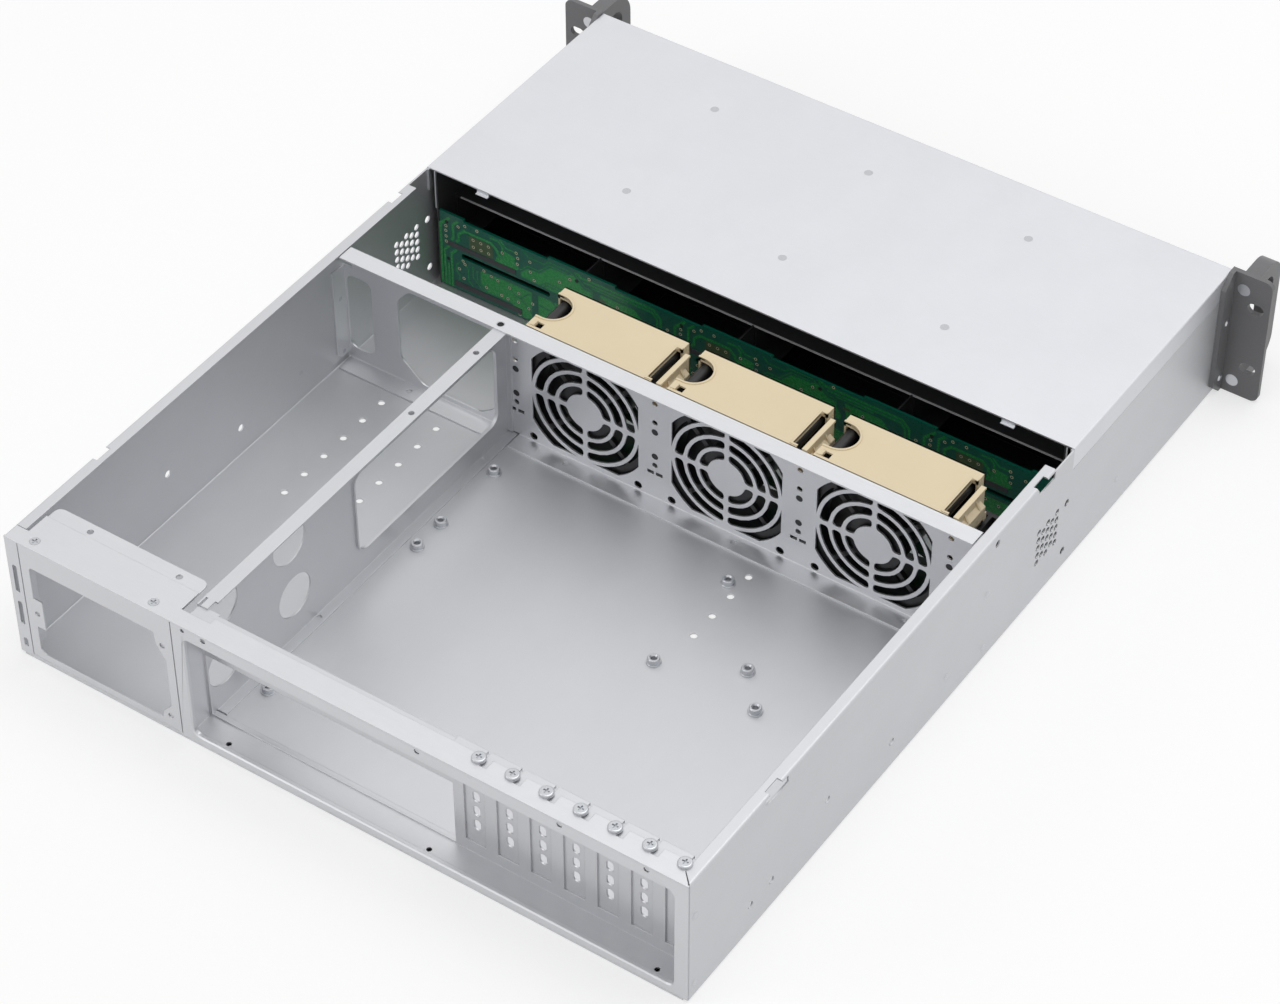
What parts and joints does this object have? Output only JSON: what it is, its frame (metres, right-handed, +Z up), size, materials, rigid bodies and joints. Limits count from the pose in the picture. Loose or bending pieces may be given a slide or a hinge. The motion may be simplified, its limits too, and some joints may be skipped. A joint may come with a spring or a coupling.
{
  "type": "empty rackmount server case",
  "caption": "2U rack server case without its main lid: board bay, power supply bay, fan wall with hot-swap fan modules, backplane and front drive bays, rack ears with handles.",
  "frame": {"origin": "middle of the underside, halfway between the rear panel and the front of the front cover", "axes": "+Z up; +Y out of the rear panel, so the drive bays and handles face -Y; +X towards the power supply bay"},
  "size_m": [0.4826, 0.586, 0.0884],
  "materials": {
    "galvanised_steel": "bright galvanised sheet",
    "galvanised_cover": "bright galvanised sheet",
    "zinc_screws": "zinc plated",
    "black_steel": "black powder coat",
    "grey_ear": "dark grey satin paint",
    "green_board": "green solder mask",
    "black_plastic": "moulded black",
    "cream_plastic": "moulded cream"
  },
  "bodies": {
    "case": {"base_tray": "galvanised_steel", "rear_panel": "galvanised_steel", "io_slot_wall": "galvanised_steel", "psu_bracket": "galvanised_steel", "divider_wall": "galvanised_steel", "fan_wall": "galvanised_steel", "slot_cover_1": "galvanised_steel", "slot_cover_2": "galvanised_steel", "slot_cover_3": "galvanised_steel", "slot_cover_4": "galvanised_steel", "slot_cover_5": "galvanised_steel", "slot_cover_6": "galvanised_steel", "slot_cover_7": "galvanised_steel", "top_cover": "galvanised_cover", "slot_screws": "zinc_screws", "psu_screws": "zinc_screws", "wall_rivets": "zinc_screws", "board_standoffs": "zinc_screws", "cover_rivets": "zinc_screws", "drive_cage": "black_steel", "cage_dividers": "black_steel", "cover_rails": "black_steel", "ear_screws": "black_steel", "ear_left": "grey_ear", "ear_right": "grey_ear", "handle_left": "grey_ear", "handle_right": "grey_ear", "backplane": "green_board", "backplane_connectors": "black_plastic", "fan_guides": "black_plastic", "front_panel": "black_plastic"},
    "power_button": {"power_button": "black_plastic"},
    "fan_module_1": {"fan_housing_1": "cream_plastic", "fan_frame_1": "black_plastic"},
    "fan_rotor_1": {"fan_rotor_1": "black_plastic"},
    "fan_latch_1": {"fan_latch_1": "cream_plastic"},
    "fan_module_2": {"fan_housing_2": "cream_plastic", "fan_frame_2": "black_plastic"},
    "fan_rotor_2": {"fan_rotor_2": "black_plastic"},
    "fan_latch_2": {"fan_latch_2": "cream_plastic"},
    "fan_module_3": {"fan_housing_3": "cream_plastic", "fan_frame_3": "black_plastic"},
    "fan_rotor_3": {"fan_rotor_3": "black_plastic"},
    "fan_latch_3": {"fan_latch_3": "cream_plastic"},
    "drive_tray_1": {"drive_tray_1": "black_plastic"},
    "tray_lever_1": {"tray_lever_1": "black_plastic"},
    "drive_tray_2": {"drive_tray_2": "black_plastic"},
    "tray_lever_2": {"tray_lever_2": "black_plastic"},
    "drive_tray_3": {"drive_tray_3": "black_plastic"},
    "tray_lever_3": {"tray_lever_3": "black_plastic"},
    "drive_tray_4": {"drive_tray_4": "black_plastic"},
    "tray_lever_4": {"tray_lever_4": "black_plastic"},
    "drive_tray_5": {"drive_tray_5": "black_plastic"},
    "tray_lever_5": {"tray_lever_5": "black_plastic"},
    "drive_tray_6": {"drive_tray_6": "black_plastic"},
    "tray_lever_6": {"tray_lever_6": "black_plastic"},
    "drive_tray_7": {"drive_tray_7": "black_plastic"},
    "tray_lever_7": {"tray_lever_7": "black_plastic"},
    "drive_tray_8": {"drive_tray_8": "black_plastic"},
    "tray_lever_8": {"tray_lever_8": "black_plastic"}
  },
  "joints": [
    {"name": "power_button_press", "type": "slide", "parent": "case", "child": "power_button", "axis": [0, 1, 0], "range_m": [0, 0.0015], "stiffness_N_per_m": 400},
    {"name": "fan_module_1_lift", "type": "slide", "parent": "case", "child": "fan_module_1", "axis": [0, 0, 1], "range_m": [0, 0.08]},
    {"name": "fan_rotor_1_spin", "type": "hinge", "parent": "fan_module_1", "child": "fan_rotor_1", "pos_m": [0.0465, -0.0347, 0.0415], "axis": [0, 1, 0], "continuous": true},
    {"name": "fan_latch_1_pinch", "type": "hinge", "parent": "fan_module_1", "child": "fan_latch_1", "pos_m": [0.0015, -0.0347, 0.06], "axis": [0, 1, 0], "range_deg": [0, 3], "stiffness_Nm_per_rad": 0.3},
    {"name": "fan_module_2_lift", "type": "slide", "parent": "case", "child": "fan_module_2", "axis": [0, 0, 1], "range_m": [0, 0.08]},
    {"name": "fan_rotor_2_spin", "type": "hinge", "parent": "fan_module_2", "child": "fan_rotor_2", "pos_m": [-0.0476, -0.0347, 0.0415], "axis": [0, 1, 0], "continuous": true},
    {"name": "fan_latch_2_pinch", "type": "hinge", "parent": "fan_module_2", "child": "fan_latch_2", "pos_m": [-0.0926, -0.0347, 0.06], "axis": [0, 1, 0], "range_deg": [0, 3], "stiffness_Nm_per_rad": 0.3},
    {"name": "fan_module_3_lift", "type": "slide", "parent": "case", "child": "fan_module_3", "axis": [0, 0, 1], "range_m": [0, 0.08]},
    {"name": "fan_rotor_3_spin", "type": "hinge", "parent": "fan_module_3", "child": "fan_rotor_3", "pos_m": [-0.1417, -0.0347, 0.0415], "axis": [0, 1, 0], "continuous": true},
    {"name": "fan_latch_3_pinch", "type": "hinge", "parent": "fan_module_3", "child": "fan_latch_3", "pos_m": [-0.1867, -0.0347, 0.06], "axis": [0, 1, 0], "range_deg": [0, 3], "stiffness_Nm_per_rad": 0.3},
    {"name": "drive_tray_1_slide", "type": "slide", "parent": "case", "child": "drive_tray_1", "axis": [0, -1, 0], "range_m": [0, 0.145]},
    {"name": "tray_lever_1_swing", "type": "hinge", "parent": "drive_tray_1", "child": "tray_lever_1", "pos_m": [-0.1102, -0.273, 0.015], "axis": [0, 0, 1], "range_deg": [0, 75]},
    {"name": "drive_tray_2_slide", "type": "slide", "parent": "case", "child": "drive_tray_2", "axis": [0, -1, 0], "range_m": [0, 0.145]},
    {"name": "tray_lever_2_swing", "type": "hinge", "parent": "drive_tray_2", "child": "tray_lever_2", "pos_m": [-0.0057, -0.273, 0.015], "axis": [0, 0, 1], "range_deg": [0, 75]},
    {"name": "drive_tray_3_slide", "type": "slide", "parent": "case", "child": "drive_tray_3", "axis": [0, -1, 0], "range_m": [0, 0.145]},
    {"name": "tray_lever_3_swing", "type": "hinge", "parent": "drive_tray_3", "child": "tray_lever_3", "pos_m": [0.0988, -0.273, 0.015], "axis": [0, 0, 1], "range_deg": [0, 75]},
    {"name": "drive_tray_4_slide", "type": "slide", "parent": "case", "child": "drive_tray_4", "axis": [0, -1, 0], "range_m": [0, 0.145]},
    {"name": "tray_lever_4_swing", "type": "hinge", "parent": "drive_tray_4", "child": "tray_lever_4", "pos_m": [0.2033, -0.273, 0.015], "axis": [0, 0, 1], "range_deg": [0, 75]},
    {"name": "drive_tray_5_slide", "type": "slide", "parent": "case", "child": "drive_tray_5", "axis": [0, -1, 0], "range_m": [0, 0.145]},
    {"name": "tray_lever_5_swing", "type": "hinge", "parent": "drive_tray_5", "child": "tray_lever_5", "pos_m": [-0.1102, -0.273, 0.0425], "axis": [0, 0, 1], "range_deg": [0, 75]},
    {"name": "drive_tray_6_slide", "type": "slide", "parent": "case", "child": "drive_tray_6", "axis": [0, -1, 0], "range_m": [0, 0.145]},
    {"name": "tray_lever_6_swing", "type": "hinge", "parent": "drive_tray_6", "child": "tray_lever_6", "pos_m": [-0.0057, -0.273, 0.0425], "axis": [0, 0, 1], "range_deg": [0, 75]},
    {"name": "drive_tray_7_slide", "type": "slide", "parent": "case", "child": "drive_tray_7", "axis": [0, -1, 0], "range_m": [0, 0.145]},
    {"name": "tray_lever_7_swing", "type": "hinge", "parent": "drive_tray_7", "child": "tray_lever_7", "pos_m": [0.0988, -0.273, 0.0425], "axis": [0, 0, 1], "range_deg": [0, 75]},
    {"name": "drive_tray_8_slide", "type": "slide", "parent": "case", "child": "drive_tray_8", "axis": [0, -1, 0], "range_m": [0, 0.145]},
    {"name": "tray_lever_8_swing", "type": "hinge", "parent": "drive_tray_8", "child": "tray_lever_8", "pos_m": [0.2033, -0.273, 0.0425], "axis": [0, 0, 1], "range_deg": [0, 75]}
  ]
}
